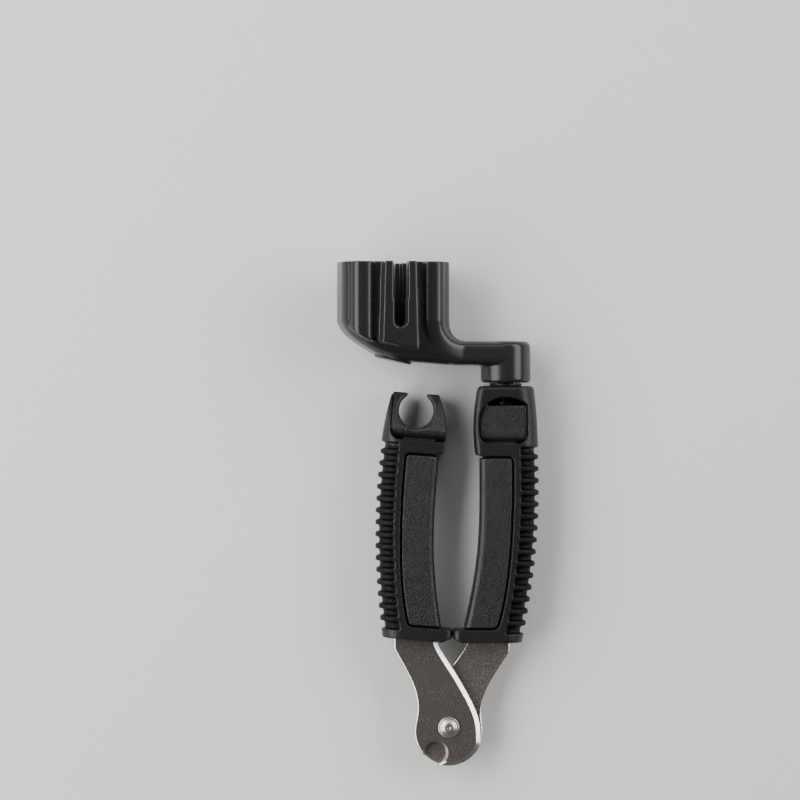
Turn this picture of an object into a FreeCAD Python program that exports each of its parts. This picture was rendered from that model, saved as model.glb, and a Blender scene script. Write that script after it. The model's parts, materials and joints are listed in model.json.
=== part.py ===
"""String winder with a string cutter and a bridge pin puller.

Two flipped copies of one stamped blade turn on a rivet. Each blade's tang is moulded into a hard grip core,
and a ribbed soft sleeve is moulded over the core. The left core ends in the bridge pin claw. The right core
carries the winder crank on a steel spindle, which turns in a flanged bush and is kept in by a clip.

The tool lies on its back: +Z is up, +Y runs from the cutter to the winder, and the origin is the centre of
the footprint, on the surface it lies on. Lengths are in millimetres and angles in degrees.

Most pieces are drawn in the right lever's own frame: the rivet's axis is at x = y = 0, the lever's length
runs along +Y and its outer side is at +X. The left lever is the mirror image.
"""
import FreeCAD
import Part
import math
import os

Vector = FreeCAD.Vector

# The whole tool
GRIP_THICK = 12.5          # front face to back face of a grip
MID = GRIP_THICK / 2       # height of the plane between the two blades
LEAN = 2.2                 # each lever leans this far inwards when the tool is closed
NOSE_GAP = 0.06            # from each grip's nose to the middle plane when closed

# Blades
BLADE_THICK = 2.2
BLADE_GAP = 0.04           # between the two blades
HEAD_R = 8.6
HEAD_Y = -1.0              # the head's centre is a little below the rivet
HEAD_JOIN = 215.0          # where the inner edge runs into the head's arc
NOTCH_R = 2.7
NOTCH_REACH = 7.2          # rivet axis to notch centre
NOTCH_ANGLE = 23.3         # from the lever's line to the notch, on the outer side
BEVEL_WIDE = 1.05          # long bevel on the blade's inner edge
BEVEL_DEEP = 0.55
TANG = [(15.5, 23.0), (13.8, 26.0), (15.0, 60.0), (10.6, 60.0), (7.2, 26.0), (4.9, 23.0)]
TANG_HOLE_R = 1.2          # the core's plastic fills the two holes in each tang
TANG_HOLES = [(11.65, 36.0), (12.75, 52.0)]

# Rivet and washer
RIVET_R = 1.9
RIVET_PLAY = 0.03
RIVET_BRIM_R = 2.65
RIVET_BRIM_H = 0.45
RIVET_DOME_R = 2.0
RIVET_DOME_H = 1.15
RIVET_DIMPLE_R = 0.55
TAIL_R = 2.6
TAIL_H = 0.9
WASHER_R = 3.4
WASHER_H = 0.6

# Grips, in the lever's frame
GRIP_LOW = 21.4            # lower end
GRIP_TOP = 85.75           # upper end of the right grip
CAP_STEP = 68.4            # the smooth cap is a little wider inwards, and starts here
CAP_LOW = 70.4             # lower end of the cap on the ribbed side
CLAW_SEAM = 71.3           # the left sleeve stops here, and the claw goes on
SIDE_ROUND = 4.5           # rounding of the outer side
INNER_ROUND = 1.5
CAP_ROUND = 1.0            # top edge of the cap
BORDER_LAP = 0.15          # the flat border stops this much short of where the rounding starts
LIP_TOP = 24.65            # the lips that meet between the grips
LIP_CORNER = 0.5
NOSE_ROUND = 1.8           # each nose curves away towards both faces
CHIN_X, CHIN_Y = 3.2, 22.55
RIB_COUNT = 15
RIB_PITCH = 2.98
RIB_HIGHEST = 68.0         # centre line of the highest rib
RIB_ROOT = 1.7
RIB_TIP = 1.1
RIB_DEEP = 1.0             # seen from the front
RIB_FACE_DEEP = 2.3        # the gaps are deeper towards the faces
END_BLOCK = 2.3            # the plain block below the lowest rib

# Textured panel of the core, seen in the sleeve's opening with a groove round it
PANEL_SINK = 0.25          # below the sleeve's faces
PANEL_LOW = 24.7
PANEL_TOP = 68.1
PANEL_CORNER = 1.4
GROOVE_WIDE = 0.5
GROOVE_DEEP = 1.2
SKIN = 1.0                 # sleeve over the core's head

# Pad on the right core, seen through a window in the sleeve
PAD_LOW, PAD_TOP = 71.3, 80.95
PAD_SINK = 1.1
PAD_ROLL = 1.8             # the pad's lower edge rolls down into the window
PAD_CLEAR = 0.4            # from the window's lower edge to the roll
POCKET_LEFT, POCKET_RIGHT = 9.0, 19.65
POCKET_TOP = 82.9
POCKET_FLOOR = 2.6

# Bridge pin claw on the left core
CLAW_TOP = 83.1
CLAW_BACK = 2.2
CLAW_ROOT_BACK = 1.6
CLAW_TIP_FRONT = 6.6
CLAW_CREST_FRONT = 10.9
CLAW_CREST = 74.2
CLAW_DIP = 8.6             # height of the face where it rolls down to the sleeve
CLAW_ROUND = 0.7
CLAW_SIDE = 20.4           # the sleeve's horn runs up the claw's outer side from here
HORN_CORNER = 2.6
PIN_X, PIN_Y = 14.25, 78.7  # centre of the bridge pin notch
PIN_R = 4.35
PIN_MOUTH = 4.8

# Winder crank, drawn with the spindle's axis at x = z = 0 and the cup towards -X
SWIVEL_X = 14.3            # the spindle's axis in the lever's frame
CRANK_REACH = 28.8         # spindle axis to cup axis
BOSS_R = 6.25
BOSS_LOW, BOSS_TOP = 86.6, 97.0
BOSS_ROUND = 1.5
ARM_HALF_WIDE = 3.05
ARM_Y = 93.95              # the arm's centre line
BEND_R = 8.0               # bend of the centre line from the cup into the arm
ELBOW_R = 4.0
ELBOW_HALF_DEEP = 5.0
ELBOW_ROUND = 1.4
FOOT_R = 4.7               # the round foot under the cup
FOOT_HALF_DEEP = 3.6
FOOT_PROUD = 0.75
FOOT_SLANT = 12.7
FOOT_Y = 92.75
CUP_TOP = 116.75
CUP_HALF_WIDE = 13.7
CUP_HALF_DEEP = 7.4
CUP_ROUND = 4.6
LOBE_X = 8.8               # from the cup's axis to the middle of each bulge
LOBE_HALF_WIDE = 3.9
LOBE_HALF_DEEP = 8.6
LOBE_SQUARE, ARM_SQUARE = 2.8, 4.5   # 2 is an ellipse, and more is closer to a rectangle
TUBE_POINTS = 32
PLATE_HALF_WIDE = 4.1      # at the cup's rim
PLATE_LOW_HALF_WIDE = 4.65
PLATE_HALF_DEEP = 11.0
PLATE_ROUND = 0.5
CAVITY_HALF_WIDE = 12.0
CAVITY_HALF_DEEP = 5.4
CAVITY_LOW = 99.6
CAVITY_CORNER = 3.0
HUB_HALF_WIDE = 3.3
HUB_HALF_DEEP = 7.2
SLOT_WIDE_TOP = 3.75
SLOT_WIDE_LOW = 3.25
SLOT_STEP = 107.2
SLOT_LOW = 100.3

# The cup's back plate rests on the table, which sets how far the crank is swung up
REST_X = CRANK_REACH - PLATE_LOW_HALF_WIDE
REST_REACH = math.hypot(REST_X, PLATE_HALF_DEEP)
CRANK_REST = math.degrees(math.atan2(PLATE_HALF_DEEP, REST_X) - math.asin(MID / REST_REACH))

# Spindle, bush and clip
SPINDLE_R = 2.0
SPINDLE_PLAY = 0.04
SPINDLE_LOW = 75.5
SPINDLE_TOP = 95.0
GROOVE_R = 1.5
CLIP_LOW, CLIP_HIGH = 81.1, 81.8
CLIP_R = 3.0
BUSH_R = 3.2
BUSH_FLANGE_R = 4.05
BUSH_TOP = 86.5


# ---- drawing helpers ----

def spline(*points, ends=None):
    """A smooth edge through points (x, y), with these directions at its two ends if they are given."""
    curve = Part.BSplineCurve()
    places = [Vector(x, y, 0) for x, y in points]
    if ends:
        curve.interpolate(Points=places, InitialTangent=Vector(*ends[0], 0), FinalTangent=Vector(*ends[1], 0))
    else:
        curve.interpolate(places)
    return curve.toShape()


def arc(a, b, c):
    """An arc from a over b to c."""
    return Part.Arc(Vector(*a, 0), Vector(*b, 0), Vector(*c, 0)).toShape()


def lines(*corners):
    """Straight edges from corner to corner."""
    return [Part.makeLine(Vector(*a, 0), Vector(*b, 0)) for a, b in zip(corners, corners[1:])]


def prism(edges, low, high):
    """The closed outline that the edges make, from height low to height high."""
    face = Part.Face(Part.Wire(Part.__sortEdges__(edges)))
    solid = face.extrude(Vector(0, 0, high - low))
    solid.translate(Vector(0, 0, low))
    return solid


def block(x0, x1, y0, y1, z0, z1):
    return Part.makeBox(x1 - x0, y1 - y0, z1 - z0, Vector(x0, y0, z0))


def cylinder(radius, low, high, x=0.0, y=0.0):
    """A cylinder along Z."""
    return Part.makeCylinder(radius, high - low, Vector(x, y, low))


def along_y(radius, low, high, x=0.0, z=0.0):
    """A cylinder along Y."""
    return Part.makeCylinder(radius, high - low, Vector(x, low, z), Vector(0, 1, 0))


def middle(edge):
    return edge.valueAt((edge.FirstParameter + edge.LastParameter) / 2)


def fillet(solid, radius, wanted):
    """Rounds the edges whose middle point passes the test."""
    return solid.makeFillet(radius, [e for e in solid.Edges if wanted(middle(e))])


def on_faces(point, sink=0.0):
    """Whether a point lies on the front or the back face, or this far below them."""
    return min(abs(point.z - sink), abs(point.z - GRIP_THICK + sink)) < 1e-3


# ---- blades ----

def blade():
    """One blade in the right lever's frame, below the plane z = 0, with its long bevel on the back."""
    start = (HEAD_R, HEAD_Y)
    turn = math.radians(HEAD_JOIN)
    end = (HEAD_R * math.cos(turn), HEAD_Y + HEAD_R * math.sin(turn))
    outer = spline(start, (8.25, 3.3), (9.0, 7.7), (11.8, 13.3), (14.7, 17.7), TANG[0], ends=[(0, 1), (0, 1)])
    inner = spline(TANG[-1], (4.3, 20.7), (0.16, 14.75), (-3.65, 9.35), (-6.4, 4.7), (-7.75, 0.9),
                   (-8.13, -2.2), end, ends=[(0, -1), (-math.sin(turn), math.cos(turn))])
    head = arc(end, (0, HEAD_Y - HEAD_R), start)
    solid = prism([outer, inner, head] + lines(*TANG), -BLADE_THICK, -BLADE_GAP / 2)
    solid = solid.cut([notch()] + tang_holes(-9, 9))
    return long_bevel(solid)


def notch():
    """The round notch that holds the string, open through the rim of the head."""
    angle = math.radians(NOTCH_ANGLE)
    return cylinder(NOTCH_R, -9, 9, NOTCH_REACH * math.sin(angle), -NOTCH_REACH * math.cos(angle))


def tang_holes(low, high):
    return [cylinder(TANG_HOLE_R, low, high, x, y) for x, y in TANG_HOLES]


def long_bevel(solid):
    """Chamfers the back of the inner edge, from the grip down and round the head to the notch."""
    def wanted(edge):
        point = middle(edge)
        return point.x < 2 and point.y < 18 and edge.Length > 8 and abs(point.z + BLADE_THICK) < 1e-3
    return solid.makeChamfer(BEVEL_DEEP, BEVEL_WIDE, [e for e in solid.Edges if wanted(e)])


def rear_blade():
    solid = blade().cut(cylinder(RIVET_R, -9, 9))
    solid.translate(Vector(0, 0, MID))
    return solid


def front_blade():
    """The same blade turned over, with room to turn on the rivet."""
    solid = blade().cut(cylinder(RIVET_R + RIVET_PLAY, -9, 9))
    solid = solid.mirror(Vector(0, 0, 0), Vector(0, 0, 1))
    solid.translate(Vector(0, 0, MID))
    return solid


# ---- rivet and washer ----

def pivot_rivet():
    """A shank with a brimmed, dimpled dome in front, and a flat tail upset over the washer."""
    front = MID + BLADE_THICK + RIVET_PLAY
    back = MID - BLADE_THICK - WASHER_H
    brim = front + RIVET_BRIM_H
    top = front + RIVET_DOME_H
    profile = [(0, front), (RIVET_BRIM_R, front), (RIVET_BRIM_R, brim - 0.15), (RIVET_BRIM_R - 0.15, brim),
               (RIVET_DOME_R, brim)]
    edges = [Part.makeLine(Vector(a, 0, b), Vector(c, 0, d)) for (a, b), (c, d) in zip(profile, profile[1:])]
    shoulder = Vector(RIVET_DOME_R * 0.8, 0, brim + (top - brim) * 0.62)
    edges.append(Part.Arc(Vector(RIVET_DOME_R, 0, brim), shoulder, Vector(RIVET_DIMPLE_R, 0, top)).toShape())
    edges.append(Part.makeLine(Vector(RIVET_DIMPLE_R, 0, top), Vector(0, 0, top - 0.2)))
    edges.append(Part.makeLine(Vector(0, 0, top - 0.2), Vector(0, 0, front)))
    head = Part.Face(Part.Wire(edges)).revolve(Vector(0, 0, 0), Vector(0, 0, 1), 360)
    tail = cylinder(TAIL_R, back - TAIL_H, back)
    tail = fillet(tail, 0.4, lambda p: abs(p.z - back + TAIL_H) < 1e-3)
    shank = cylinder(RIVET_R, back - 0.3, front + 0.3)
    return shank.fuse([head, tail]).removeSplitter()


def pivot_washer():
    high = MID - BLADE_THICK
    low = high - WASHER_H
    return cylinder(WASHER_R, low, high).cut(cylinder(RIVET_R, low - 1, high + 1))


# ---- grips ----

def rib_line(shift=0.0):
    """The line of the rib tips along the outer side, moved inwards."""
    points = [(21.2, GRIP_TOP), (22.35, 72.5), (22.65, 60.0), (22.1, 47.0), (20.7, 35.0), (18.3, GRIP_LOW)]
    return spline(*[(x - shift, y) for x, y in points])


def outer_side(depth, face_depth, rounding):
    """The rounded outer side, this far below the rib tips and below the grip's faces."""
    edges = [rib_line(depth)] + lines((21.2 - depth, GRIP_TOP), (10, GRIP_TOP), (10, GRIP_LOW),
                                      (18.3 - depth, GRIP_LOW))
    solid = prism(edges, face_depth, GRIP_THICK - face_depth)
    return fillet(solid, rounding, lambda p: p.x > 16 and GRIP_LOW + 2 < p.y < GRIP_TOP - 2
                  and on_faces(p, face_depth))


def gap_floor():
    """The floor of the gaps between the ribs."""
    floor = outer_side(RIB_DEEP, RIB_FACE_DEEP, SIDE_ROUND - RIB_DEEP)
    return floor.common(block(0, 30, GRIP_LOW, CAP_LOW + 0.5, -1, GRIP_THICK + 1))


def ribs():
    """Tapered ribs round the outer side from face to face, and the plain block below them."""
    root, tip = RIB_ROOT / 2, RIB_TIP / 2
    slices = [block(12, 24, GRIP_LOW, GRIP_LOW + END_BLOCK, -1, GRIP_THICK + 1)]
    for number in range(RIB_COUNT):
        y = RIB_HIGHEST - number * RIB_PITCH
        low = [(12, y - root), (18, y - root), (24, y - tip)]
        high = [(24, y + tip), (18, y + root), (12, y + root)]
        slices.append(prism(lines(*low, *high, low[0]), -1, GRIP_THICK + 1))
    return outer_side(0.0, 0.0, SIDE_ROUND).common(Part.makeCompound(slices))


def panel_opening(inset=0.0):
    """Outline of the opening that shows the panel, or of the panel inside its groove."""
    low, high = PANEL_LOW + inset, PANEL_TOP - inset
    right = spline(*[(x - inset, y) for x, y in
                     ((16.25, high), (16.3, 57.0), (15.75, 45.0), (14.5, 34.0), (12.4, low))])
    rest = lines((12.4 - inset, low), (-3, low), (-3, high), (16.25 - inset, high))
    solid = prism([right] + rest, -1, GRIP_THICK + 1)
    return fillet(solid, PANEL_CORNER - inset, lambda p: p.x > 10 and abs(p.z - MID) < 1)


def inner_line(low, high, inset=0.0):
    """The grip's inner side between two heights."""
    points = [(7.75, high), (7.75, 56.0), (7.2, 44.0), (5.8, 34.2), (3.9, low)]
    return spline(*[(x + inset, y) for x, y in points])


def border():
    """The flat-faced border beside the panel, with the lip below it that meets the other grip's lip."""
    nose = 0.90 + NOSE_GAP
    reach = SIDE_ROUND + BORDER_LAP
    lip = lines((3.9, LIP_TOP), (nose, LIP_TOP), (nose, CHIN_Y), (CHIN_X, GRIP_LOW), (18.3 - reach, GRIP_LOW))
    high = lines((21.2 - reach, GRIP_TOP), (7.75, GRIP_TOP), (7.75, CAP_STEP + 1))
    solid = prism([inner_line(LIP_TOP, CAP_STEP + 1), rib_line(reach)] + lip + high, 0, GRIP_THICK)
    solid = fillet(solid, LIP_CORNER, lambda p: p.x < nose + 0.1 and abs(p.z - MID) < 1e-3)
    room = block(nose, 30, GRIP_LOW, CAP_LOW + 0.5, 0, GRIP_THICK)
    room = fillet(room, NOSE_ROUND, lambda p: p.x < nose + 0.1 and on_faces(p))
    return solid.common(room).cut(panel_opening())


def cap(high, inset=0.0, sink=0.0):
    """The smooth upper part of a grip up to a height, or the space inside its skin."""
    inner = spline((7.4 + inset, high), (6.3 + inset, 77.0), (6.75 + inset, CAP_STEP + inset))
    outer = spline((21.3 - inset, high), (22.15 - inset, 77.0), (22.4 - inset, CAP_LOW + inset))
    top = lines((7.4 + inset, high), (21.3 - inset, high))
    low = lines((22.4 - inset, CAP_LOW + inset), (16.5, CAP_LOW + inset), (16.5, CAP_STEP + inset),
                (6.75 + inset, CAP_STEP + inset))
    solid = prism([inner, outer] + top + low, sink, GRIP_THICK - sink)

    def long_edge(point):
        return CAP_LOW + 3 < point.y < high - 3 and on_faces(point, sink)
    solid = fillet(solid, SIDE_ROUND - inset, lambda p: p.x > 18 and long_edge(p))
    return fillet(solid, INNER_ROUND, lambda p: p.x < 9 and long_edge(p))


def core_slab():
    """The part of the core that the panels belong to, over the blade's tang."""
    outer = spline((17.6, PANEL_TOP), (17.6, 57.0), (17.0, 45.0), (15.6, 34.0), (13.4, PANEL_LOW))
    ends = lines((4.9, PANEL_LOW), (13.4, PANEL_LOW)) + lines((17.6, PANEL_TOP), (8.75, PANEL_TOP))
    base = prism([inner_line(PANEL_LOW, PANEL_TOP, 1.0), outer] + ends, GROOVE_DEEP, GRIP_THICK - GROOVE_DEEP)
    return base.fuse(panel())


def panel():
    """The raised panels, front and back, with the grip's rounded inner side between them."""
    low, high = PANEL_LOW + GROOVE_WIDE, PANEL_TOP - GROOVE_WIDE
    ends = lines((3.9, low), (22, low), (22, high), (7.75, high))
    solid = prism([inner_line(low, high)] + ends, PANEL_SINK, GRIP_THICK - PANEL_SINK)
    solid = fillet(solid, INNER_ROUND, lambda p: p.x < 9 and 30 < p.y < 60 and on_faces(p, PANEL_SINK))
    return solid.common(panel_opening(GROOVE_WIDE))


def core_neck(high):
    """Joins the slab to the core's head under the bar between panel and cap."""
    return block(9.0, 17.0, PANEL_TOP - 1, high, 2.0, GRIP_THICK - 2.0)


def tang_room(low, high):
    """The space that a blade's tang takes up inside the core."""
    return prism(lines(*TANG, TANG[0]), low, high).cut(tang_holes(low - 1, high + 1))


def pad_window(low, high):
    """The window in the right grip's cap: a rounded square that is a little narrower at the top."""
    floor = lines((10.2, PAD_LOW), (17.2, PAD_LOW))
    right_corner = arc((17.2, PAD_LOW), (19.0, PAD_LOW + 0.75), (19.75, PAD_LOW + 2.55))
    right_side = lines((19.75, PAD_LOW + 2.55), (POCKET_RIGHT, PAD_TOP), (POCKET_LEFT, PAD_TOP))
    left_side = spline((POCKET_LEFT, PAD_TOP), (7.9, 78.8), (7.5, 76.0), (7.6, PAD_LOW + 2.6))
    left_corner = arc((7.6, PAD_LOW + 2.6), (8.35, PAD_LOW + 0.8), (10.2, PAD_LOW))
    return prism(floor + [right_corner, left_side, left_corner] + right_side, low, high)


def pocket():
    """The crescent pocket above the pad, where the clip is pushed on from the front."""
    low = PAD_TOP - 0.05
    roof = arc((POCKET_LEFT, low), ((POCKET_LEFT + POCKET_RIGHT) / 2, POCKET_TOP), (POCKET_RIGHT, low))
    return prism([roof] + lines((POCKET_LEFT, low), (POCKET_RIGHT, low)), POCKET_FLOOR, GRIP_THICK + 1)


def spindle_bore(radius, low, high):
    return along_y(radius, low, high, SWIVEL_X, MID)


def right_grip_core():
    """Panel slab and pad in one piece, with the spindle's bore."""
    foot = PAD_LOW + PAD_CLEAR
    rolled = block(0, 30, foot, GRIP_TOP, PAD_SINK, GRIP_THICK - PAD_SINK)
    rolled = fillet(rolled, PAD_ROLL, lambda p: abs(p.y - foot) < 1e-3 and on_faces(p, PAD_SINK))
    window = pad_window(PAD_SINK, GRIP_THICK - PAD_SINK)
    head = cap(GRIP_TOP - SKIN, SKIN, PAD_SINK).fuse(window).common(rolled)
    solid = core_slab().fuse([core_neck(foot + 1), head])
    solid = solid.cut([pocket(), spindle_bore(SPINDLE_R + SPINDLE_PLAY, SPINDLE_LOW - 0.2, PAD_TOP + 1),
                       spindle_bore(BUSH_R, PAD_TOP, GRIP_TOP)])
    return solid.cut(tang_room(MID - BLADE_THICK, MID - BLADE_GAP / 2))


def left_grip_core():
    """Panel slab and claw in one piece, drawn in the right lever's frame."""
    solid = core_slab().fuse([core_neck(CLAW_SEAM + 0.1), claw()])
    return solid.cut(tang_room(MID + BLADE_GAP / 2, MID + BLADE_THICK))


def claw():
    """The bridge pin claw: a wedge that gets thinner towards its tips, with a round notch."""
    inner = spline((8.8, CLAW_TOP), (6.9, 77.8), (6.3, CLAW_SEAM))
    rest = lines((8.8, CLAW_TOP), (CLAW_SIDE, CLAW_TOP), (CLAW_SIDE, CLAW_SEAM), (6.3, CLAW_SEAM))
    solid = prism([inner] + rest, 0, GRIP_THICK).common(claw_wedge())

    def inner_edge(point):
        return point.x < 9 and not 3 < point.z < 5 and CLAW_CREST < point.y < CLAW_TOP - 0.2
    solid = fillet(solid, CLAW_ROUND, inner_edge)
    mouth = block(PIN_X - PIN_MOUTH / 2, PIN_X + PIN_MOUTH / 2, PIN_Y, CLAW_TOP + 5, -1, GRIP_THICK)
    return solid.cut(cylinder(PIN_R, -1, GRIP_THICK, PIN_X, PIN_Y).fuse(mouth))


def claw_wedge():
    """Side view of the claw, along its whole width."""
    roll = Part.Arc(Vector(0, CLAW_SEAM, CLAW_DIP), Vector(0, CLAW_SEAM + 0.9, CLAW_CREST_FRONT - 0.75),
                    Vector(0, CLAW_CREST, CLAW_CREST_FRONT)).toShape()
    corners = [(CLAW_CREST, CLAW_CREST_FRONT), (CLAW_TOP, CLAW_TIP_FRONT), (CLAW_TOP, CLAW_BACK),
               (CLAW_CREST, CLAW_ROOT_BACK), (CLAW_SEAM, CLAW_ROOT_BACK), (CLAW_SEAM, CLAW_DIP)]
    edges = [Part.makeLine(Vector(0, *a), Vector(0, *b)) for a, b in zip(corners, corners[1:])]
    return Part.Face(Part.Wire([roll] + edges)).extrude(Vector(40, 0, 0))


def grip_sleeve(cap_solid, core, blade_solid):
    """Border, ribs and cap in one piece, with the core and the blade's tang inside."""
    solid = border().fuse([gap_floor(), ribs(), cap_solid])
    return solid.cut([panel_opening(), core, blade_solid])


def right_cap():
    """The closed cap, with a window for the pad on both faces and the bush's bore in its top."""
    solid = fillet(cap(GRIP_TOP), CAP_ROUND, lambda p: abs(p.y - GRIP_TOP) < 1e-3)
    deep = PAD_SINK + PAD_ROLL
    return solid.cut([pad_window(-1, deep), pad_window(GRIP_THICK - deep, GRIP_THICK + 1), pocket(),
                      spindle_bore(SPINDLE_R + SPINDLE_PLAY, SPINDLE_LOW - 0.2, PAD_TOP + 1),
                      spindle_bore(BUSH_R, PAD_TOP, GRIP_TOP + 1)])


def left_cap():
    """The cap's lowest part, with a horn that runs up the claw's outer side and thins out at its tip."""
    inner = spline((6.4, 83.0), (6.3, 77.0), (6.75, CAP_STEP))
    outer = spline((20.7, CLAW_TOP - 0.4), (21.7, 77.5), (22.4, CAP_LOW))
    low = lines((22.4, CAP_LOW), (16.5, CAP_LOW), (16.5, CAP_STEP), (6.75, CAP_STEP))
    solid = prism([inner, outer] + lines((20.7, CLAW_TOP - 0.4), (6.4, 83.0)) + low, 0, GRIP_THICK)
    solid = fillet(solid, SIDE_ROUND, lambda p: p.x > 20.5 and p.y > CAP_LOW + 3 and on_faces(p))
    opening = block(-5, CLAW_SIDE, CLAW_SEAM, GRIP_TOP, -1, GRIP_THICK + 1)
    opening = fillet(opening, HORN_CORNER, lambda p: p.x > 10 and p.y < 72 and abs(p.z - MID) < 1)
    return solid.cut(opening).common(horn_side_view())


def horn_side_view():
    """Side view of the horn: it gets lower towards the claw's tips, like the claw."""
    corners = [(60, 0), (CLAW_SEAM, 0), (CLAW_TOP, CLAW_BACK - 0.6), (CLAW_TOP, CLAW_TIP_FRONT + 0.6),
               (CLAW_SEAM + 0.6, GRIP_THICK), (60, GRIP_THICK), (60, 0)]
    edges = [Part.makeLine(Vector(0, *a), Vector(0, *b)) for a, b in zip(corners, corners[1:])]
    return Part.Face(Part.Wire(edges)).extrude(Vector(40, 0, 0))


# ---- winder crank ----

def cup_body():
    """The cup's outside: straight walls, and a bottom that sweeps down into the arm."""
    c = -CRANK_REACH
    w = CUP_HALF_WIDE
    sweep = spline((c - w, 102.0), (c - 11.4, 98.3), (c - 8.2, 95.9), (c - 4.4, 93.7), (c + 4.0, 91.8),
                   (c + w, 91.0))
    walls = lines((c - w, 102.0), (c - w, CUP_TOP), (c + w, CUP_TOP), (c + w, 91.0))
    solid = prism(walls + [sweep], -CUP_HALF_DEEP, CUP_HALF_DEEP)
    return fillet(solid, CUP_ROUND, lambda p: p.y < CUP_TOP - 0.1 and abs(abs(p.z) - CUP_HALF_DEEP) < 1e-3)


def left_bulge():
    """A bulge that runs up the cup on the far side of the plate, front and back."""
    c = -CRANK_REACH
    near, far = c - LOBE_X + LOBE_HALF_WIDE, c - LOBE_X - LOBE_HALF_WIDE
    foot = spline((far - 0.5, 101.0), (c - 10.9, 99.1), (c - 8.5, 97.6), (near + 0.5, 96.7))
    plan = [foot] + lines((near + 0.5, 96.7), (near + 0.5, CUP_TOP), (far - 0.5, CUP_TOP), (far - 0.5, 101.0))
    return upright_tube(c - LOBE_X, 90.0).common(prism(plan, -20, 20))


def bent_bulge():
    """The bulge on the near side. It bends below the cup and runs on as the arm, flush with the boss."""
    x = -CRANK_REACH + LOBE_X
    turn_x, turn_y = x + BEND_R, ARM_Y + BEND_R
    sections = []
    for angle in range(0, 91, 15):
        a = math.radians(angle)
        place = (turn_x - BEND_R * math.cos(a), turn_y - BEND_R * math.sin(a))
        sections.append(tube_section(place, (math.cos(a), math.sin(a)), angle / 90))
    bend = Part.makeLoft(sections, True)
    arm = Part.Face(sections[-1]).extrude(Vector(-turn_x, 0, 0))
    return upright_tube(x, turn_y).fuse([bend, arm])


def upright_tube(x, low):
    """A bulge's straight part, up to the cup's rim."""
    return Part.Face(tube_section((x, low), (1, 0), 0.0)).extrude(Vector(0, CUP_TOP - low, 0))


def tube_section(place, across, share):
    """A rounded section, upright on the plane z = 0: the bulge's at share 0, and the arm's at share 1."""
    half_wide = LOBE_HALF_WIDE + share * (ARM_HALF_WIDE - LOBE_HALF_WIDE)
    half_deep = LOBE_HALF_DEEP + share * (BOSS_R - LOBE_HALF_DEEP)
    power = 2 / (LOBE_SQUARE + share * (ARM_SQUARE - LOBE_SQUARE))
    points = []
    for step in range(TUBE_POINTS):
        turn = 2 * math.pi * step / TUBE_POINTS
        u = half_wide * math.copysign(abs(math.cos(turn)) ** power, math.cos(turn))
        z = half_deep * math.copysign(abs(math.sin(turn)) ** power, math.sin(turn))
        points.append(Vector(place[0] + u * across[0], place[1] + u * across[1], z))
    curve = Part.BSplineCurve()
    curve.interpolate(points, PeriodicFlag=True)
    return Part.Wire(curve.toShape())


def plate():
    """The raised plate up the middle of the cup, front and back, with a slanted lower end."""
    c = -CRANK_REACH
    w, low = PLATE_HALF_WIDE, PLATE_LOW_HALF_WIDE
    edges = lines((c - w, CUP_TOP), (c + w, CUP_TOP), (c + low, 94.4), (c - low, 96.7), (c - w, CUP_TOP))
    solid = prism(edges, -PLATE_HALF_DEEP, PLATE_HALF_DEEP)
    return fillet(solid, PLATE_ROUND, lambda p: p.y < CUP_TOP - 0.1
                  and abs(abs(p.z) - PLATE_HALF_DEEP) < 1e-3)


def elbow_web():
    """Fills the corner between the cup's wall and the arm with a hollow curve."""
    root = -CRANK_REACH + CUP_HALF_WIDE
    top = ARM_Y + ARM_HALF_WIDE
    bend = ELBOW_R * (1 - math.sqrt(0.5))
    curve = arc((root, top + ELBOW_R), (root + bend, top + bend), (root + ELBOW_R, top))
    edges = lines((root + ELBOW_R, top), (root + ELBOW_R, top - 2), (root - 2, top - 2),
                  (root - 2, top + ELBOW_R), (root, top + ELBOW_R))
    solid = prism(edges + [curve], -ELBOW_HALF_DEEP, ELBOW_HALF_DEEP)
    return fillet(solid, ELBOW_ROUND, lambda p: root + 0.5 < p.x < root + 3 and p.y > top + 0.5
                  and abs(abs(p.z) - ELBOW_HALF_DEEP) < 1e-3)


def foot():
    """A low round foot under the cup, square to its sweeping bottom."""
    slant = math.radians(FOOT_SLANT)
    down = Vector(-math.sin(slant), -math.cos(slant), 0)
    inside = Vector(-CRANK_REACH, FOOT_Y, 0) - down * FOOT_PROUD
    disc = Part.makeCylinder(FOOT_R, 2 * FOOT_PROUD, inside, down)
    return disc.common(block(-CRANK_REACH - 2 * FOOT_R, -CRANK_REACH + 2 * FOOT_R, FOOT_Y - 5, FOOT_Y + 5,
                             -FOOT_HALF_DEEP, FOOT_HALF_DEEP))


def boss():
    solid = along_y(BOSS_R, BOSS_LOW, BOSS_TOP)
    solid = fillet(solid, BOSS_ROUND, lambda p: abs(p.y - BOSS_TOP) < 1e-3)
    return fillet(solid, BOSS_ROUND / 2, lambda p: abs(p.y - BOSS_LOW) < 1e-3)


def cavity():
    """The inside of the cup: a rounded slot for the button's wings, and a deeper middle for its post."""
    c = -CRANK_REACH
    w, d = CAVITY_HALF_WIDE, CAVITY_HALF_DEEP
    wings = block(c - w, c + w, CAVITY_LOW, CUP_TOP + 1, -d, d)
    wings = fillet(wings, CAVITY_CORNER, lambda p: abs(p.z) > d - 0.1 and abs(abs(p.x - c) - w) < 0.1)
    hub = block(c - HUB_HALF_WIDE, c + HUB_HALF_WIDE, CAVITY_LOW + 1, CUP_TOP + 1,
                -HUB_HALF_DEEP, HUB_HALF_DEEP)
    return wings.cut(swept_corner()).fuse(hub)


def swept_corner():
    """Keeps the cup's wall thick where its bottom sweeps in."""
    x = -CRANK_REACH - CAVITY_HALF_WIDE
    low = CAVITY_LOW
    edges = lines((x - 1, low - 1), (x + 6.5, low - 1), (x + 6.5, low), (x, low + 4.6), (x - 1, low + 4.6),
                  (x - 1, low - 1))
    return prism(edges, -20, 20)


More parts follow.
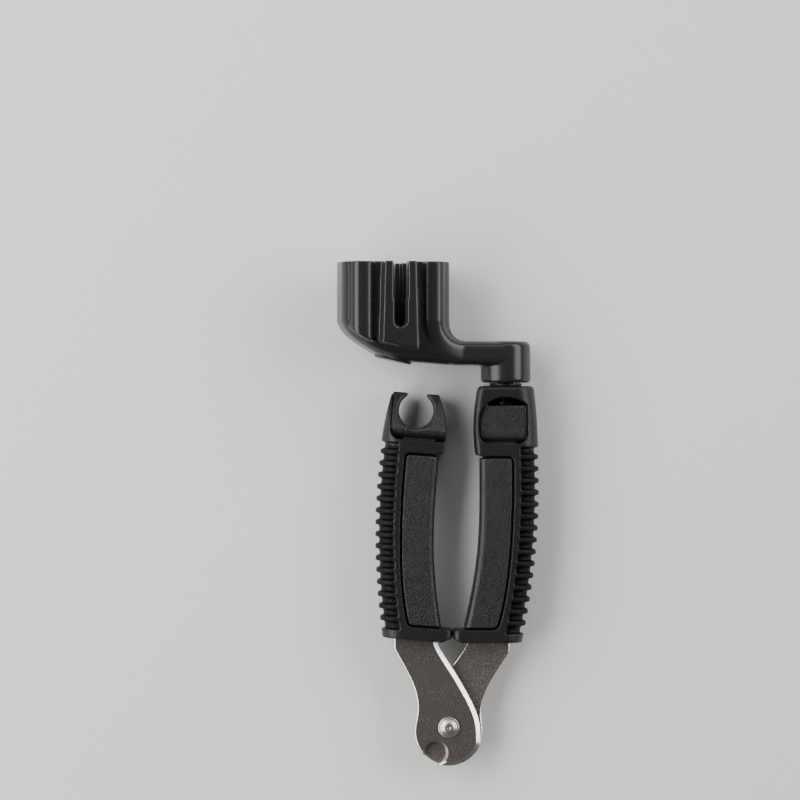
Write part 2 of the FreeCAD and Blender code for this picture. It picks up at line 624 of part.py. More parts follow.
def slot():
    """The slot for the string post, through both plates: wider above, with a round end."""
    c = -CRANK_REACH
    half = SLOT_WIDE_LOW / 2
    wide = block(c - SLOT_WIDE_TOP / 2, c + SLOT_WIDE_TOP / 2, SLOT_STEP, CUP_TOP + 1, -20, 20)
    narrow = block(c - half, c + half, SLOT_LOW + half, SLOT_STEP + 1, -20, 20)
    return wide.fuse([narrow, cylinder(half, -20, 20, c, SLOT_LOW + half)])


def winder_crank():
    solid = cup_body().fuse([left_bulge(), bent_bulge(), plate(), elbow_web(), foot(), boss()])
    return solid.cut([cavity(), slot(), along_y(SPINDLE_R, BOSS_LOW - 1, SPINDLE_TOP)])


def crank_spindle():
    """The steel pin: pressed into the boss, running in the bush and the core, with a groove for the clip."""
    groove = along_y(SPINDLE_R + 1, CLIP_LOW, CLIP_HIGH).cut(along_y(GROOVE_R, CLIP_LOW - 1, CLIP_HIGH + 1))
    return along_y(SPINDLE_R, SPINDLE_LOW, SPINDLE_TOP).cut(groove)


def spindle_clip():
    """A flat clip with an open side, pushed onto the spindle's groove."""
    mouth = block(-GROOVE_R * 0.85, GROOVE_R * 0.85, CLIP_LOW - 1, CLIP_HIGH + 1, -CLIP_R - 1, 0)
    return along_y(CLIP_R, CLIP_LOW, CLIP_HIGH).cut([along_y(GROOVE_R, CLIP_LOW - 1, CLIP_HIGH + 1), mouth])


def spindle_bush():
    """The flanged bush: its flange is the black neck between the grip and the boss."""
    solid = along_y(BUSH_R, POCKET_TOP - 0.1, GRIP_TOP).fuse(along_y(BUSH_FLANGE_R, GRIP_TOP, BUSH_TOP))
    return solid.cut(along_y(SPINDLE_R + SPINDLE_PLAY, POCKET_TOP - 1, BUSH_TOP + 1))


# ---- assembly ----

def on_swivel(solid, angle=0.0):
    """Swings a piece up about the spindle and puts it on the spindle's axis in the lever's frame."""
    solid.rotate(Vector(0, 0, 0), Vector(0, 1, 0), angle)
    solid.translate(Vector(SWIVEL_X, 0, MID))
    return solid


def lean(solid):
    """From the right lever's frame to the closed tool."""
    solid = solid.copy()
    solid.rotate(Vector(0, 0, 0), Vector(0, 0, 1), LEAN)
    return solid


def lean_left(solid):
    """The mirror image, on the left lever."""
    return lean(solid).mirror(Vector(0, 0, 0), Vector(1, 0, 0))


def pieces():
    rear, front = rear_blade(), front_blade()
    right_core, left_core = right_grip_core(), left_grip_core()
    return {
        "rear_blade": lean(rear),
        "front_blade": lean_left(front),
        "pivot_rivet": pivot_rivet(),
        "pivot_washer": pivot_washer(),
        "right_grip_core": lean(right_core),
        "left_grip_core": lean_left(left_core),
        "right_grip_sleeve": lean(grip_sleeve(right_cap(), right_core, rear)),
        "left_grip_sleeve": lean_left(grip_sleeve(left_cap(), left_core, front)),
        "spindle_bush": lean(on_swivel(spindle_bush())),
        "winder_crank": lean(on_swivel(winder_crank(), CRANK_REST)),
        "crank_spindle": lean(on_swivel(crank_spindle(), CRANK_REST)),
        "spindle_clip": lean(on_swivel(spindle_clip(), CRANK_REST)),
    }


os.makedirs("parts", exist_ok=True)
made = pieces()
whole = FreeCAD.BoundBox()
for solid in made.values():
    whole.add(solid.optimalBoundingBox())
to_origin = Vector(-whole.Center.x, -whole.Center.y, -whole.ZMin)
for name, solid in made.items():
    solid.translate(to_origin)
    solid.exportStep(f"parts/{name}.step")
    print(f"{name:18s} solids {len(solid.Solids)}  valid {solid.isValid()}  volume {solid.Volume:9.2f}")
print("size", whole.XLength, whole.YLength, whole.ZLength, "lowest", whole.ZMin)
print("rivet axis at", to_origin.x, to_origin.y, "crank rest", CRANK_REST)
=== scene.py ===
"""String winder with a string cutter and a bridge pin puller, lying closed on its back."""
import json
import math

import bmesh
import bpy
from mathutils import Matrix, Vector


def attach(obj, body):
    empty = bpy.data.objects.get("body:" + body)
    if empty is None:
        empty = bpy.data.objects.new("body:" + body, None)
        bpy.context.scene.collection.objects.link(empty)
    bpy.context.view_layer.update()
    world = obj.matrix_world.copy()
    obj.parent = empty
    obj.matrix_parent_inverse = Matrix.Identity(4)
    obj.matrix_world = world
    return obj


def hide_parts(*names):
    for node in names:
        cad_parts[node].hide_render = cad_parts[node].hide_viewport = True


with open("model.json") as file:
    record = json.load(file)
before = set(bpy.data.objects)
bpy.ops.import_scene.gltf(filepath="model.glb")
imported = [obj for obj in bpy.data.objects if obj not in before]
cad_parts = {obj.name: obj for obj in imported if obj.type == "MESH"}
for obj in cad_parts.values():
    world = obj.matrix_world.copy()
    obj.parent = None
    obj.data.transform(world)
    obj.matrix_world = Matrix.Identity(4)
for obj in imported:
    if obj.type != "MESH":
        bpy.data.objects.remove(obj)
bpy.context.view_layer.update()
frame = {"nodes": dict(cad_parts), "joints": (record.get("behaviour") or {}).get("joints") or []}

# ---- Where things are ----
# The rivet and the crank's spindle give the two levers' places. A lever is drawn in millimetres in its own
# frame: the rivet at x = y = 0, its length along +Y, its outer side at +X. The left lever mirrors the right.
joints = {joint["name"]: joint for joint in frame["joints"]}
rivet_at = Vector(joints["cutter_pivot"]["pos_m"])
swivel_axis = Vector(joints["crank_swivel"]["axis"])
lean = math.atan2(-swivel_axis.x, swivel_axis.y)
MM = 0.001
on_plane = Matrix.Translation((rivet_at.x, rivet_at.y, 0))
right_lever = on_plane @ Matrix.Rotation(lean, 4, "Z") @ Matrix.Scale(MM, 4)
left_lever = on_plane @ Matrix.Scale(-1, 4, (1, 0, 0)) @ Matrix.Rotation(lean, 4, "Z") @ Matrix.Scale(MM, 4)

# ---- Table, light and camera ----
# A pale painted table top, with a long soft light on the left, a weaker one on the right, and a small one
# beyond the winder. The camera looks straight down from a metre above, turned with the right lever.
TABLE_WIDE, TABLE_DROP = 4.0, 0.0002
bpy.ops.mesh.primitive_plane_add(size=TABLE_WIDE, location=(0, 0, -TABLE_DROP))
table_top = bpy.context.object
table_top.name = "table_top"
table_paint = bpy.data.materials.new("table_paint")
table_paint.use_nodes = True
table_paint.node_tree.nodes["Principled BSDF"].inputs["Base Color"].default_value = (0.80, 0.79, 0.77, 1)
table_paint.node_tree.nodes["Principled BSDF"].inputs["Roughness"].default_value = 0.75
table_top.data.materials.append(table_paint)


def soft_light(name, place, size, power):
    """A soft box of this width and height in metres, which faces the middle of the tool."""
    data = bpy.data.lights.new(name, "AREA")
    data.shape = "RECTANGLE"
    data.size, data.size_y = size
    data.energy = power
    light = bpy.data.objects.new(name, data)
    bpy.context.scene.collection.objects.link(light)
    light.location = place
    light.rotation_euler = (-Vector(place)).to_track_quat("-Z", "Y").to_euler()


soft_light("left_box", (-0.60, 0.10, 0.50), (1.4, 0.55), 13.5)
soft_light("right_box", (0.70, 0.32, 0.50), (1.0, 0.45), 7.5)
soft_light("top_box", (-0.05, 0.95, 0.60), (0.9, 0.3), 2.4)
world = bpy.data.worlds.new("room")
bpy.context.scene.world = world
world.use_nodes = True
world.node_tree.nodes["Background"].inputs["Color"].default_value = (0.95, 0.97, 1.0, 1)
world.node_tree.nodes["Background"].inputs["Strength"].default_value = 0.12

VIEW_CENTRE = (-12.25, 82.25, 12.5)      # in the right lever's frame, on the grips' front faces
VIEW_DISTANCE = 1.0
VIEW_WIDTH = 0.200
camera_data = bpy.data.cameras.new("camera")
camera_data.sensor_width = 36.0
camera_data.lens = camera_data.sensor_width * VIEW_DISTANCE / VIEW_WIDTH
camera = bpy.data.objects.new("camera", camera_data)
bpy.context.scene.collection.objects.link(camera)
camera.location = right_lever @ Vector(VIEW_CENTRE) + Vector((0, 0, VIEW_DISTANCE))
camera.rotation_euler = (0, 0, lean)
bpy.context.scene.camera = camera

# ---- Blades ----
# Two flipped copies of one blade, stamped from 2.2 mm steel, tumbled to a brownish grey, and ground bright
# along the shearing edge. The press rounds the outline's edges. The grips are moulded round the tangs.
EDGE_ROUND = 0.36
CORNER = math.radians(80)                # the outline's corners are sharper than this before they are rounded
CREASE = math.radians(50)                # an edge sharper than this stays crisp
FLAT, UPRIGHT = 0.999, 0.05              # a face's upward lean: flatter than one or steeper than the other,
                                         # it was never ground
HEAD_AT, HEAD_R = Vector((0, -1.0, 0)), 8.6
STRING_NOTCH_AT, STRING_NOTCH_R = Vector((2.85, -6.61, 0)), 2.7
STRING_NOTCH_EASE = 1.7                  # times the outline's rounding, round the string notch
PATCH_SCALE, GRAIN_SCALE, FLECK_SCALE = 260.0, 2600.0, 2100.0      # of the steel's patterns, per metre
GROUND_SCALE = (16000, 600, 1500)        # across and along the lines that grinding leaves
FLECK_SHINE = 1.9                        # a fleck is this much lighter than the steel round it
PIT_DEEP = 0.00004


def merged(node):
    """A working copy of a CAD node's mesh, with its loose triangles merged."""
    work = bmesh.new()
    work.from_mesh(frame["nodes"][node].data)
    bmesh.ops.remove_doubles(work, verts=work.verts, dist=2e-7)
    return work


def finished(name, work, body, node, slot, *materials):
    """Makes an object of a working mesh, which rides on a body in place of a CAD node."""
    mesh = bpy.data.meshes.new(name)
    work.to_mesh(mesh)
    work.free()
    piece = bpy.data.objects.new(name, mesh)
    bpy.context.scene.collection.objects.link(piece)
    for material in materials:
        mesh.materials.append(material)
    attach(piece, body)
    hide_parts(node)


def node_adder(tree):
    """Returns a function that adds a node to a node tree, with its settings and its linked inputs."""
    def add(kind, settings=(), **inputs):
        node = tree.nodes.new(kind)
        for key, value in dict(settings).items():
            setattr(node, key, value)
        for key, value in inputs.items():
            socket = node.inputs[int(key[1:])] if key[0] == "_" else node.inputs[key.replace("_", " ")]
            if isinstance(value, bpy.types.NodeSocket):
                tree.links.new(value, socket)
            else:
                socket.default_value = value
        return node
    return add


def ramp(add, value, stops):
    """A colour ramp with these (place, grey level) stops."""
    node = add("ShaderNodeValToRGB", _0=value)
    while len(node.color_ramp.elements) < len(stops):
        node.color_ramp.elements.new(0.5)
    for element, (place, level) in zip(node.color_ramp.elements, stops):
        element.position = place
        element.color = (level, level, level, 1)
    return node.outputs["Color"]


def steel(name, dark, light, rough, pits, flecks=(0.42, 0.62), streaks=None):
    """Bare steel: two shades in fine grain, patches of bright flecks, and pits.

    Ground steel has lines in place of the grain, turned by streaks."""
    material = bpy.data.materials.new(name)
    material.use_nodes = True
    add = node_adder(material.node_tree)
    shader = material.node_tree.nodes["Principled BSDF"]
    place = add("ShaderNodeTexCoord").outputs["Object"]
    patches = add("ShaderNodeTexNoise", Vector=place, Scale=PATCH_SCALE, Detail=6.0,
                  Roughness=0.6).outputs["Fac"]
    grain = add("ShaderNodeTexNoise", Vector=place, Scale=GRAIN_SCALE, Detail=3.0,
                Roughness=0.7).outputs["Fac"]
    if streaks:
        along = add("ShaderNodeMapping", Vector=place, Rotation=(0, 0, streaks),
                    Scale=GROUND_SCALE).outputs["Vector"]
        grain = add("ShaderNodeTexNoise", Vector=along, Scale=1.0, Detail=2.0).outputs["Fac"]
    specks = add("ShaderNodeTexVoronoi", Vector=place, Scale=FLECK_SCALE).outputs["Distance"]
    shine = ramp(add, specks, [(0.14, 1.0), (0.30, 0.0)])
    picked = ramp(add, patches, [(flecks[0], 0.0), (flecks[1], 1.0)])
    shine = add("ShaderNodeMath", {"operation": "MULTIPLY"}, _0=shine, _1=picked).outputs["Value"]
    shade = add("ShaderNodeMix", {"data_type": "RGBA"}, _0=grain, _6=(*dark, 1), _7=(*light, 1)).outputs[2]
    glint = add("ShaderNodeMix", {"data_type": "RGBA"}, _0=shine, _6=shade,
                _7=(*[min(1.0, FLECK_SHINE * v) for v in light], 1)).outputs[2]
    material.node_tree.links.new(glint, shader.inputs["Base Color"])
    spread = add("ShaderNodeMapRange", Value=grain, To_Min=rough - 0.08,
                 To_Max=rough + 0.10).outputs["Result"]
    material.node_tree.links.new(spread, shader.inputs["Roughness"])
    bump = add("ShaderNodeBump", Height=grain, Strength=pits, Distance=PIT_DEEP)
    material.node_tree.links.new(bump.outputs["Normal"], shader.inputs["Normal"])
    shader.inputs["Metallic"].default_value = 1.0
    return material


tumbled_steel = steel("tumbled_steel", (0.120, 0.103, 0.095), (0.330, 0.285, 0.264), 0.38, 0.8)
rubbed_steel = steel("rubbed_steel", (0.150, 0.130, 0.120), (0.420, 0.365, 0.340), 0.38, 0.8, (0.30, 0.52))
ground_steel = steel("ground_steel", (0.62, 0.61, 0.60), (0.80, 0.79, 0.78), 0.26, 0.05, streaks=0.6)


def blade(node, body, place, face_steel):
    """A blade with its outline's edges rounded and its bevel ground bright.

    Round the string notch the rounding is stretched, and a point on the head's outline stays on it."""
    work = merged(node)
    bmesh.ops.dissolve_limit(work, angle_limit=math.radians(0.5), verts=work.verts, edges=work.edges)
    sharp = [e for e in work.edges if len(e.link_faces) == 2 and e.calc_face_angle() > CORNER]
    bmesh.ops.bevel(work, geom=sharp, offset=EDGE_ROUND * MM, segments=2, profile=0.5, affect="EDGES")
    bmesh.ops.triangulate(work, faces=work.faces)
    notch_at, head_at = (place @ STRING_NOTCH_AT).xy, (place @ HEAD_AT).xy
    faces_z = min(v.co.z for v in work.verts), max(v.co.z for v in work.verts)
    for vert in work.verts:
        way = vert.co.xy - notch_at
        out = way.length - STRING_NOTCH_R * MM
        face_z = min(faces_z, key=lambda z: abs(z - vert.co.z))
        if -0.03 * MM < out < 1.05 * EDGE_ROUND * MM and abs(vert.co.z - face_z) < 1.05 * EDGE_ROUND * MM:
            reach = (vert.co.xy - head_at).length
            moved = vert.co.xy - head_at + way.normalized() * max(out, 0.0) * (STRING_NOTCH_EASE - 1)
            if reach > (HEAD_R - 1.2 * EDGE_ROUND) * MM:
                moved = moved.normalized() * reach
            vert.co = (*(head_at + moved), face_z + (vert.co.z - face_z) * STRING_NOTCH_EASE)
    for face in work.faces:
        face.smooth = abs(face.normal.z) < FLAT
        face.material_index = int(UPRIGHT < abs(face.normal.z) < FLAT)
    for edge in work.edges:
        edge.smooth = len(edge.link_faces) == 2 and edge.calc_face_angle() < CREASE
    finished(node + "_polished", work, body, node, "blade_steel", face_steel, ground_steel)


blade("rear_blade", "right_lever", right_lever, rubbed_steel)
blade("front_blade", "left_lever", left_lever, tumbled_steel)

# ---- Rivet and washer ----
# The rivet is fixed in the rear blade: a bright dome with a brim and a small dimple in front, and a tail that
# is upset over a washer behind.
RIVET_SHAPE = [(0.0, 9.46), (0.25, 9.47), (0.5, 9.60), (0.75, 9.63), (1.15, 9.57), (1.55, 9.38), (1.85, 9.12),
               (2.0, 8.98), (2.2, 8.93), (2.5, 8.92), (2.62, 8.86), (2.65, 8.76), (2.65, 8.5), (1.9, 8.48),
               (1.9, 3.45), (2.6, 3.44), (2.6, 2.95), (2.45, 2.65), (2.1, 2.56), (0.0, 2.55)]
WASHER_SHAPE = [(1.92, 3.55), (2.0, 3.45), (3.25, 3.45), (3.38, 3.52), (3.4, 3.62), (3.4, 3.88), (3.38, 3.98),
                (3.25, 4.05), (2.0, 4.05), (1.92, 3.95)]
TURNED_STEPS = 72
bright_steel = steel("bright_steel", (0.54, 0.53, 0.51), (0.66, 0.65, 0.63), 0.30, 0.06)


def turned(shape, closed=False):
    """A working mesh of a turned part about Z, from its (radius, height) outline in millimetres."""
    work = bmesh.new()
    rings = []
    for radius, height in shape:
        if radius == 0.0:
            rings.append([work.verts.new((0, 0, height))])
            continue
        steps = [2 * math.pi * k / TURNED_STEPS for k in range(TURNED_STEPS)]
        rings.append([work.verts.new((radius * math.cos(a), radius * math.sin(a), height)) for a in steps])
    pairs = list(zip(rings, rings[1:])) + ([(rings[-1], rings[0])] if closed else [])
    for upper, lower in pairs:
        for k in range(TURNED_STEPS):
            after = (k + 1) % TURNED_STEPS
            corners = [upper[k % len(upper)], lower[k % len(lower)], lower[after % len(lower)],
                       upper[after % len(upper)]]
            corners = list(dict.fromkeys(corners))
            if len(corners) > 2:
                work.faces.new(corners)
    bmesh.ops.recalc_face_normals(work, faces=work.faces)
    for face in work.faces:
        face.smooth = True
    return work


at_rivet = on_plane @ Matrix.Scale(MM, 4)
for node, shape, closed in (("pivot_rivet", RIVET_SHAPE, False), ("pivot_washer", WASHER_SHAPE, True)):
    work = turned(shape, closed)
    work.transform(at_rivet)
    finished(node + "_turned", work, "right_lever", node, "rivet_steel", bright_steel)

# ---- Grip cores ----
# Hard black plastic, moulded round the tangs. The panels, the pad and the claw have a fine leather grain from
# the mould. The right core holds the spindle, and the left one ends in the bridge pin claw.
SKIN_FINENESS = 0.25
EASE_PASSES = 3
WOBBLE, FINE, WORN_SCALE = 0.4, 3.0, 90.0        # the pebbles' wobble and fine grain, times the pebble scale
FINE_SHARE = 0.35                        # height of the fine grain beside the pebbles'


def grained_plastic(name, shade, rough, shine, grain_size, depth):
    """Black plastic with the mould's leather grain, a little polished by handling."""
    material = bpy.data.materials.new(name)
    material.use_nodes = True
    add = node_adder(material.node_tree)
    shader = material.node_tree.nodes["Principled BSDF"]
    place = add("ShaderNodeTexCoord").outputs["Object"]
    wobble = add("ShaderNodeTexNoise", Vector=place, Scale=WOBBLE / grain_size, Detail=2.0).outputs["Color"]
    shifted = add("ShaderNodeVectorMath", {"operation": "MULTIPLY_ADD"}, _0=wobble,
                  _1=(grain_size, grain_size, grain_size), _2=place).outputs["Vector"]
    pebbles = add("ShaderNodeTexVoronoi", {"feature": "SMOOTH_F1"}, Vector=shifted, Scale=1.0 / grain_size,
                  Smoothness=0.35).outputs["Distance"]
    fine = add("ShaderNodeTexNoise", Vector=place, Scale=FINE / grain_size, Detail=2.0).outputs["Fac"]
    height = add("ShaderNodeMath", {"operation": "MULTIPLY_ADD"}, _0=fine, _1=FINE_SHARE,
                 _2=pebbles).outputs["Value"]
    worn = add("ShaderNodeTexNoise", Vector=place, Scale=WORN_SCALE, Detail=3.0).outputs["Fac"]
    tone = add("ShaderNodeMix", {"data_type": "RGBA"}, _0=worn, _6=(*[0.75 * v for v in shade], 1),
               _7=(*[1.3 * v for v in shade], 1)).outputs[2]
    material.node_tree.links.new(tone, shader.inputs["Base Color"])
    spread = add("ShaderNodeMapRange", Value=worn, To_Min=rough + 0.08, To_Max=rough - 0.08).outputs["Result"]
    material.node_tree.links.new(spread, shader.inputs["Roughness"])
    bump = add("ShaderNodeBump", Height=height, Strength=1.0, Distance=depth)
    material.node_tree.links.new(bump.outputs["Normal"], shader.inputs["Normal"])
    shader.inputs["Specular IOR Level"].default_value = shine
    return material


leather_grain = grained_plastic("leather_grain", (0.009, 0.009, 0.0097), 0.34, 0.48, 0.00034, 0.00010)


def moulded(work, place, fineness=SKIN_FINENESS, passes=EASE_PASSES):
    """Turns a working mesh in metres into one seamless skin with a moulded part's small roundings.

    The skin is made in the part's own frame, where its faces lie along the skin's grid."""
    work.transform(place.inverted())
    rough = bpy.data.meshes.new("rough")
    work.to_mesh(rough)
    work.free()
    holder = bpy.data.objects.new("holder", rough)
    bpy.context.scene.collection.objects.link(holder)
    skin = holder.modifiers.new("skin", "REMESH")
    skin.mode = "VOXEL"
    skin.voxel_size = fineness
    ease = holder.modifiers.new("ease", "SMOOTH")
    ease.factor = 0.5
    ease.iterations = passes
    smooth = bpy.data.meshes.new_from_object(holder.evaluated_get(bpy.context.evaluated_depsgraph_get()))
    work = bmesh.new()
    work.from_mesh(smooth)
    bpy.data.objects.remove(holder)
    bpy.data.meshes.remove(rough)
    bpy.data.meshes.remove(smooth)
    work.transform(place)
    if place.determinant() < 0:
        bmesh.ops.reverse_faces(work, faces=work.faces)
    for face in work.faces:
        face.smooth = True
    return work


NOTCH_AT, NOTCH_R = Vector((14.25, 78.7)), 4.35
NOTCH_LIP = 0.95                         # the claw's face rolls down into the notch over this width
NOTCH_FACE = 5.5                         # points above this height are on the claw's front


def rolled_notch(work, place):
    """Rolls the claw's front face down into the bridge pin notch."""
    back = place.inverted()
    for vert in work.verts:
        point = back @ vert.co
        away = ((point.xy - NOTCH_AT).length - NOTCH_R) / NOTCH_LIP
        if point.z > NOTCH_FACE and -0.4 < away < 1 and point.y < NOTCH_AT.y + NOTCH_R:
            point.z -= NOTCH_LIP * (1 - math.sqrt(1 - (1 - max(away, 0.0)) ** 2))
            vert.co = place @ point
    return work


finished("right_grip_core_grained", moulded(merged("right_grip_core"), right_lever), "right_lever",
         "right_grip_core", "core_plastic", leather_grain)
finished("left_grip_core_grained", rolled_notch(moulded(merged("left_grip_core"), left_lever), left_lever),
         "left_lever", "left_grip_core", "core_plastic", leather_grain)

# ---- Grip sleeves ----
# Softer black plastic, moulded over each core: a border round the panel, a smooth cap, and a row of matt ribs
# round the outer side from face to face. The ribs and the gaps between them are painted darker than the
# border, as painted shade. The gaps between the ribs are deep, and the ribs' edges are rounded.
GRIP_THICK = 12.5
WIDEST, WIDEST_AT, BOW = 22.65, 60.0, 0.00291     # the line of the rib tips is a shallow arch
SIDE_ROUND = 4.5
RIB_COUNT, RIB_PITCH, RIB_HIGHEST = 15, 2.98, 68.0
RIB_SECTION = [(6.0, -0.87), (2.5, -0.80), (0.42, -0.66), (0.14, -0.56), (0.0, -0.34),
               (0.0, 0.34), (0.14, 0.56), (0.42, 0.66), (2.5, 0.80), (6.0, 0.87)]
FLOOR_DEEP, FLOOR_FACE_DEEP = 1.0, 2.3
BORDER_LAP = 4.6
LOWEST, BLOCK_TOP, RIBS_END = 21.4, 23.7, 69.7


def side_outline(deep=0.0, face_deep=0.0, reach=5.6):
    """The outer side's rounded outline as (x, z) with the tips at x = 0, and its outward normals."""
    radius = SIDE_ROUND - deep
    low, high = face_deep, GRIP_THICK - face_deep
    points = [((-reach, low), (0, -1))]
    for k in range(9):
        a = math.radians(-90 + 90 * k / 8)
        points.append(((-deep - radius + radius * math.cos(a), low + radius + radius * math.sin(a)),
                       (math.cos(a), math.sin(a))))
    upper = [((x, GRIP_THICK - z), (nx, -nz)) for (x, z), (nx, nz) in reversed(points)]
    return points + upper


def lofted(sections):
    """A closed working mesh through closed sections with the same number of points."""
    work = bmesh.new()
    rings = [[work.verts.new(p) for p in section] for section in sections]
    count = len(rings[0])
    for a, b in zip(rings, rings[1:]):
        for k in range(count):
            work.faces.new((a[k], a[(k + 1) % count], b[(k + 1) % count], b[k]))
    work.faces.new(rings[0])
    work.faces.new(rings[-1])
    bmesh.ops.recalc_face_normals(work, faces=work.faces)
    return work


def tip_line(y):
    return WIDEST - BOW * (y - WIDEST_AT) ** 2


def side_run(low, high, deep, face_deep):
    """The outer side between two heights, this far below the rib tips and the faces."""
    heights = [low + (high - low) * k / 24 for k in range(25)]
    return lofted([[(tip_line(y) + x, y, z) for (x, z), _ in side_outline(deep, face_deep)] for y in heights])


def rib_tree():
    """Sets the ribs out along the arched line of the rib tips."""
    tree = bpy.data.node_groups.new("rib_row", "GeometryNodeTree")
    face = tree.interface
    face.new_socket("Geometry", in_out="OUTPUT", socket_type="NodeSocketGeometry")
    for label, kind in (("Rib", "NodeSocketObject"), ("Ribs", "NodeSocketInt"), ("Pitch", "NodeSocketFloat"),
                        ("Highest", "NodeSocketFloat"), ("Widest", "NodeSocketFloat"),
                        ("Widest At", "NodeSocketFloat"), ("Bow", "NodeSocketFloat"),
                        ("Material", "NodeSocketMaterial")):
        face.new_socket(label, in_out="INPUT", socket_type=kind)
    given = tree.nodes.new("NodeGroupInput").outputs
    add = node_adder(tree)
    start = add("ShaderNodeCombineXYZ", Y=given["Highest"]).outputs[0]
    down = add("ShaderNodeMath", {"operation": "MULTIPLY"}, _0=given["Pitch"], _1=-1.0).outputs[0]
    step = add("ShaderNodeCombineXYZ", Y=down).outputs[0]
    row = add("GeometryNodeMeshLine", Count=given["Ribs"], Start_Location=start, Offset=step).outputs[0]
    here = add("ShaderNodeSeparateXYZ", _0=add("GeometryNodeInputPosition").outputs[0]).outputs["Y"]
    away = add("ShaderNodeMath", {"operation": "SUBTRACT"}, _0=here, _1=given["Widest At"]).outputs[0]
    square = add("ShaderNodeMath", {"operation": "MULTIPLY"}, _0=away, _1=away).outputs[0]
    dip = add("ShaderNodeMath", {"operation": "MULTIPLY"}, _0=square, _1=given["Bow"]).outputs[0]
    tip = add("ShaderNodeMath", {"operation": "SUBTRACT"}, _0=given["Widest"], _1=dip).outputs[0]
    out = add("ShaderNodeCombineXYZ", X=tip).outputs[0]
    bowed = add("GeometryNodeSetPosition", Geometry=row, Offset=out).outputs[0]
    rib = add("GeometryNodeObjectInfo", Object=given["Rib"]).outputs["Geometry"]
    placed = add("GeometryNodeInstanceOnPoints", Points=bowed, Instance=rib).outputs[0]
    real = add("GeometryNodeRealizeInstances", Geometry=placed).outputs[0]
    coloured = add("GeometryNodeSetMaterial", Geometry=real, Material=given["Material"]).outputs[0]
    tree.links.new(coloured, tree.nodes.new("NodeGroupOutput").inputs["Geometry"])
    return tree


def rib_row(material):
    """The ribs of one sleeve as a plain mesh in the lever's frame."""
    around = side_outline()
    one = lofted([[(x - deep * nx, y, z - deep * nz) for deep, y in RIB_SECTION]
                  for (x, z), (nx, nz) in around])
    rib_mesh = bpy.data.meshes.new("one_rib")
    one.to_mesh(rib_mesh)
    one.free()
    rib = bpy.data.objects.new("one_rib", rib_mesh)
    bpy.context.scene.collection.objects.link(rib)
    holder = bpy.data.objects.new("rib_row", bpy.data.meshes.new("rib_row"))
    bpy.context.scene.collection.objects.link(holder)
    tree = rib_tree()
    setter = holder.modifiers.new("ribs", "NODES")
    setter.node_group = tree
    sockets = {s.name: s.identifier for s in tree.interface.items_tree if s.in_out == "INPUT"}
    for label, value in {"Rib": rib, "Ribs": RIB_COUNT, "Pitch": RIB_PITCH, "Highest": RIB_HIGHEST,
                         "Widest": WIDEST, "Widest At": WIDEST_AT, "Bow": BOW, "Material": material}.items():
        setter[sockets[label]] = value
    row = bpy.data.meshes.new_from_object(holder.evaluated_get(bpy.context.evaluated_depsgraph_get()))
    bpy.data.objects.remove(holder)
    bpy.data.objects.remove(rib)
    bpy.data.meshes.remove(rib_mesh)
    return row


def without_ribs(node, place):
    """The CAD sleeve in the lever's frame, with its ribbed side cut off beside the border."""
    def held(name, work):
        mesh = bpy.data.meshes.new(name)
        work.to_mesh(mesh)
        work.free()
        piece = bpy.data.objects.new(name, mesh)
        bpy.context.scene.collection.objects.link(piece)
        return piece
    work = merged(node)
    work.transform(place.inverted())
    if place.determinant() < 0:
        bmesh.ops.reverse_faces(work, faces=work.faces)
    sleeve = held("sleeve", work)
    heights = [LOWEST - 1 + (RIBS_END - LOWEST + 1) * k / 24 for k in range(25)]
    cutter = held("cutter", lofted([[(tip_line(y) - BORDER_LAP, y, -1), (30, y, -1), (30, y, 14),
                                     (tip_line(y) - BORDER_LAP, y, 14)] for y in heights]))
    cut = sleeve.modifiers.new("cut", "BOOLEAN")
    cut.operation = "DIFFERENCE"
    cut.solver = "EXACT"
    cut.object = cutter
    mesh = bpy.data.meshes.new_from_object(sleeve.evaluated_get(bpy.context.evaluated_depsgraph_get()))
    bpy.data.objects.remove(sleeve)
    bpy.data.objects.remove(cutter)
    return mesh
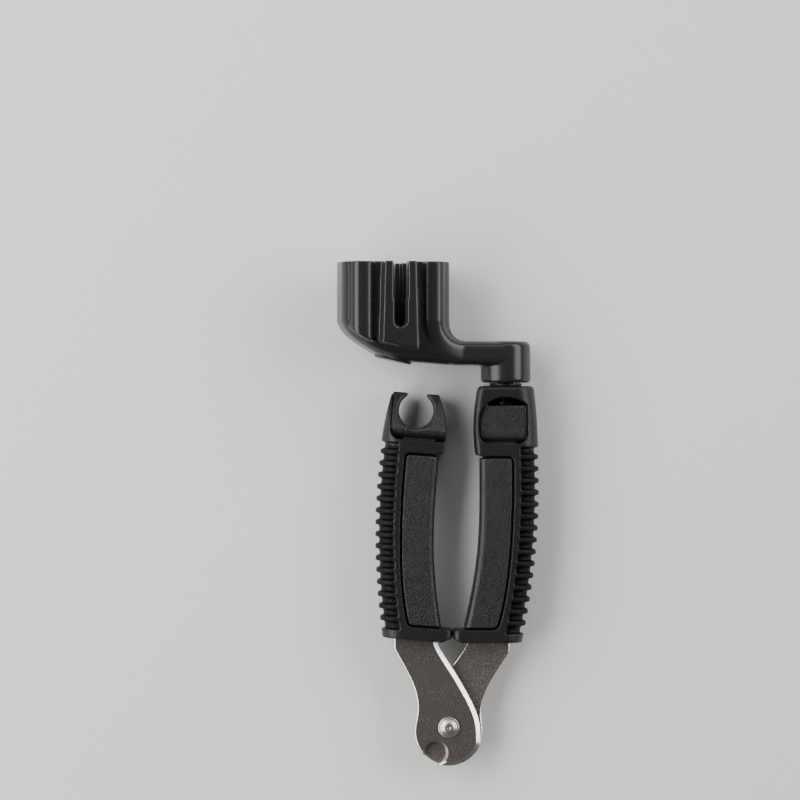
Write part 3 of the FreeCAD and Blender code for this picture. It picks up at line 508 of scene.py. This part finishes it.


# A darker, duller copy of the satin plastic: its darker colour is painted shade on the ribbed side.
painted_shade_rib_rubber = grained_plastic("painted_shade_rib_rubber", (0.005, 0.005, 0.0054), 0.50, 0.14, 0.00030, 0.00004)
satin_rubber = grained_plastic("satin_rubber", (0.007, 0.007, 0.0076), 0.38, 0.36, 0.00030, 0.00004)
for node, place, body in (("right_grip_sleeve", right_lever, "right_lever"),
                          ("left_grip_sleeve", left_lever, "left_lever")):
    work = bmesh.new()
    for mesh in (without_ribs(node, place), rib_row(satin_rubber)):
        work.from_mesh(mesh)
        bpy.data.meshes.remove(mesh)
    for extra in (side_run(LOWEST + 0.2, RIBS_END + 0.5, FLOOR_DEEP, FLOOR_FACE_DEEP),
                  side_run(LOWEST, BLOCK_TOP, 0.0, 0.0)):
        mesh = bpy.data.meshes.new("extra")
        extra.to_mesh(mesh)
        extra.free()
        work.from_mesh(mesh)
        bpy.data.meshes.remove(mesh)
    work.transform(place)
    work = moulded(work, place)
    # The ribbed zone, both ribs and gaps, takes the darker copy of the plastic as painted shade.
    for face in work.faces:
        x, y, z = place.inverted() @ face.calc_center_median()
        face.material_index = int(x > tip_line(y) - BORDER_LAP and BLOCK_TOP < y < RIBS_END)
    finished(node + "_ribbed", work, body, node, "sleeve_rubber", satin_rubber, painted_shade_rib_rubber)

# ---- Winder crank ----
# One glossy black moulding: a cup for the tuning machine's button, with a slotted plate and two bulges up its
# sides, the arm, and the boss that the spindle is pressed into.
SWIVEL_X, MID = 14.3, 6.25
REST_SWING = 10.86643647                 # degrees up from flat, with the cup's back plate on the table
CRANK_FINENESS = 0.27
CRANK_PASSES = 4
gloss_plastic = grained_plastic("gloss_plastic", (0.014, 0.014, 0.0150), 0.27, 0.42, 0.0006, 0.000006)
crank_frame = (right_lever @ Matrix.Translation((SWIVEL_X, 0, MID))
               @ Matrix.Rotation(math.radians(REST_SWING), 4, "Y"))
finished("winder_crank_moulded", moulded(merged("winder_crank"), crank_frame, CRANK_FINENESS, CRANK_PASSES),
         "crank", "winder_crank", "crank_plastic", gloss_plastic)

# ---- Spindle, clip and bush ----
# The steel spindle is pressed into the crank's boss and turns in a flanged plastic bush. A clip in its groove
# keeps it in the grip. All three are black, and little of them shows. The spindle and clip are black oxide,
# made darker still as painted shade for the pocket above the pad, where the spindle shows.
BUSH_SHAPE = [(2.04, 82.9), (2.14, 82.8), (3.1, 82.8), (3.2, 82.9), (3.2, 85.75), (3.9, 85.75), (4.02, 85.8),
              (4.05, 85.92), (4.05, 86.33), (4.02, 86.45), (3.9, 86.5), (2.14, 86.5), (2.04, 86.4)]
work = turned(BUSH_SHAPE, closed=True)
work.transform(right_lever @ Matrix.Translation((SWIVEL_X, 0, MID))
               @ Matrix.Rotation(math.radians(-90), 4, "X"))
finished("spindle_bush_turned", work, "right_lever", "spindle_bush", "bush_plastic", satin_rubber)
# Black oxide, darkened further to paint the shade in the pocket round the spindle.
black_oxide_and_shade = steel("black_oxide_and_shade", (0.010, 0.010, 0.011), (0.024, 0.024, 0.026), 0.42, 0.3)
for node in ("crank_spindle", "spindle_clip"):
    mesh = frame["nodes"][node].data
    mesh.materials.clear()
    mesh.materials.append(black_oxide_and_shade)
